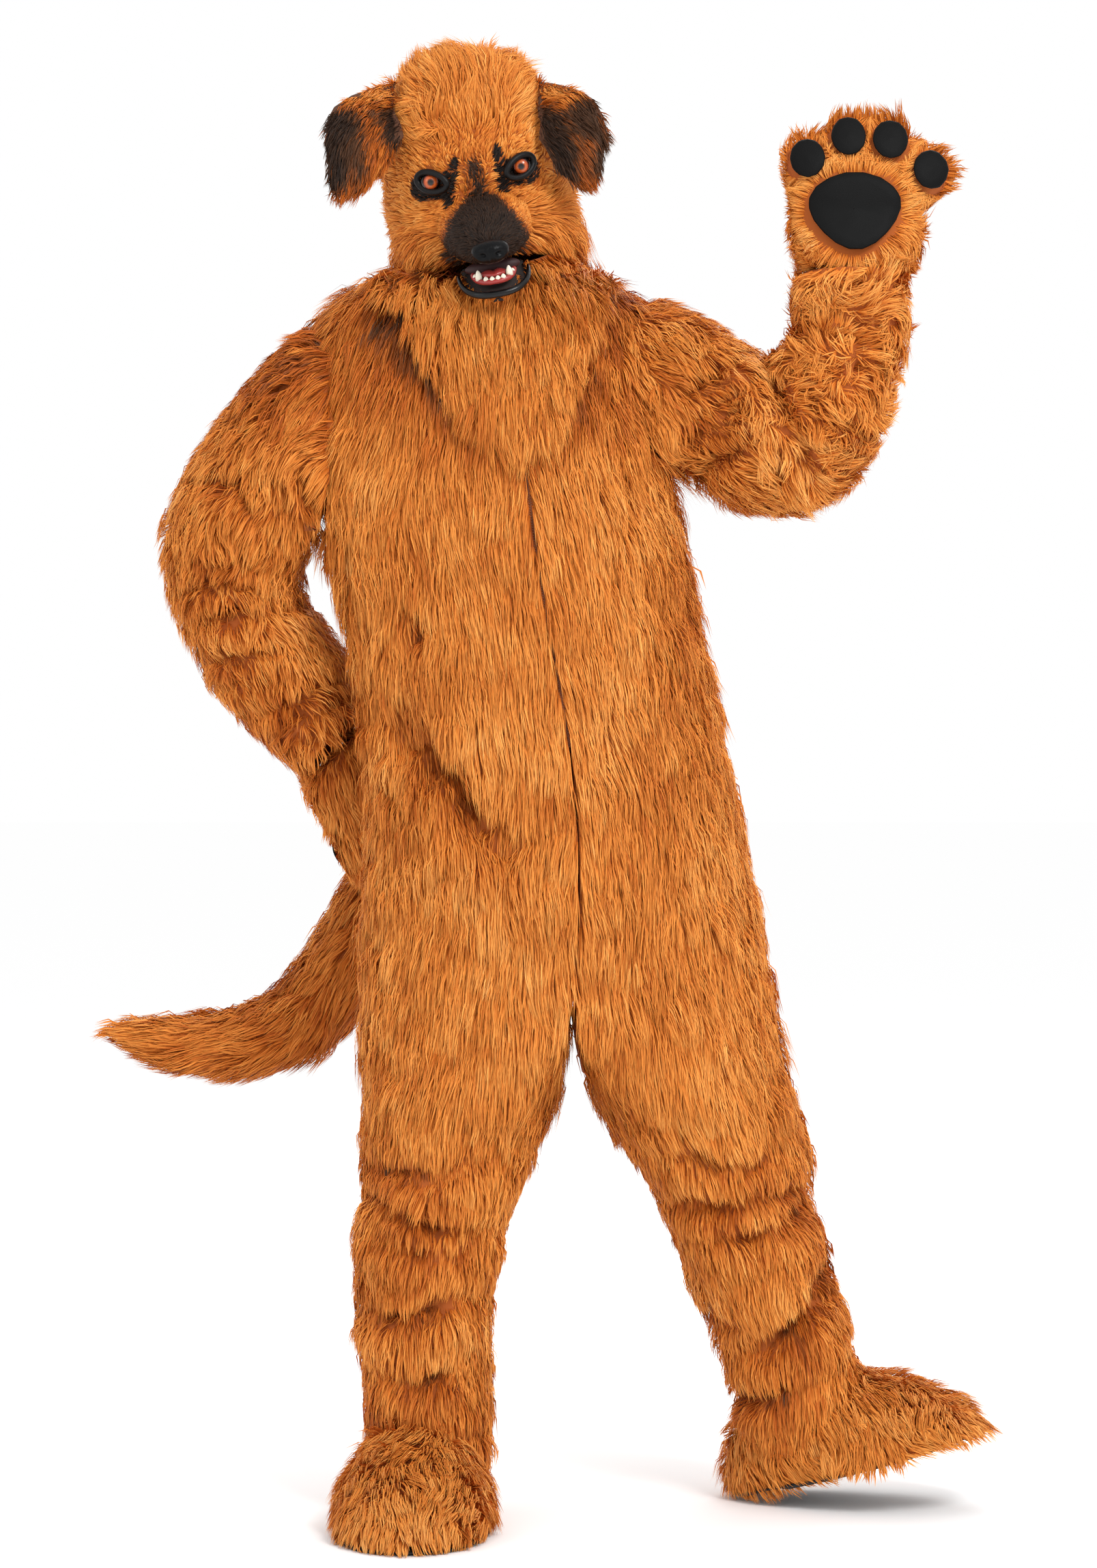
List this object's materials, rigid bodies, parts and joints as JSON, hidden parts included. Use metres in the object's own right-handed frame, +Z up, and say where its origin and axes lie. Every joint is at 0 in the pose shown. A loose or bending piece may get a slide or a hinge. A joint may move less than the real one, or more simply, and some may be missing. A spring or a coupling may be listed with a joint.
{
  "type": "full_body_dog_costume",
  "caption": "Long-pile ginger dog costume worn in a waving pose: mask with floppy dark ears and open mouth, zipped jumpsuit, mitts with black paw pads, furred shoe covers and a curved tail.",
  "frame": {"origin": "at the neck base, midway between the shoulders, where the wearer's shoulders carry the costume", "axes": "+X towards picture right (the wearer's left), +Y towards the back, +Z up"},
  "size_m": [1.1288, 0.6282, 1.8295],
  "materials": {
    "ginger_pile": "long faux fur pile, soft sheen",
    "mask_pile": "medium faux fur pile",
    "muzzle_pile": "short dark faux fur pile",
    "ear_pile": "dark brown faux fur pile",
    "pad_cloth": "matt black cloth",
    "sole_cloth": "matt black non-slip cloth",
    "zip_tape": "zip tape",
    "gloss_black": "glossy black",
    "eye_glass": "clear domed eye over an orange iris",
    "tooth_ivory": "ivory",
    "tongue_red": "red",
    "mouth_dark": "dark red"
  },
  "bodies": {
    "root": {"front_right": "ginger_pile", "front_left": "ginger_pile", "back_right": "ginger_pile", "back_left": "ginger_pile", "sleeve_right": "ginger_pile", "sleeve_left": "ginger_pile", "mitt_left_palm": "ginger_pile", "mitt_left_back": "ginger_pile", "mitt_right_palm": "ginger_pile", "mitt_right_back": "ginger_pile", "shoe_right_upper": "ginger_pile", "shoe_left_upper": "ginger_pile", "tail": "ginger_pile", "zip_front": "zip_tape", "shoe_left_sole": "sole_cloth", "pad_left_toe1": "pad_cloth", "pad_left_toe2": "pad_cloth", "pad_left_toe3": "pad_cloth", "pad_left_toe4": "pad_cloth", "pad_left_main": "pad_cloth", "ear_left": "ear_pile", "eye_left": "eye_glass", "eye_rim_left": "gloss_black", "shoe_right_sole": "sole_cloth", "pad_right_toe1": "pad_cloth", "pad_right_toe2": "pad_cloth", "pad_right_toe3": "pad_cloth", "pad_right_toe4": "pad_cloth", "pad_right_main": "pad_cloth", "ear_right": "ear_pile", "eye_right": "eye_glass", "eye_rim_right": "gloss_black", "mask_head": "mask_pile", "mask_bib": "mask_pile", "mask_jaw": "mask_pile", "mask_muzzle": "muzzle_pile", "nose": "gloss_black", "lips": "gloss_black", "teeth_lower": "tooth_ivory", "tongue": "tongue_red", "mouth_lining": "mouth_dark"}
  },
  "joints": []
}
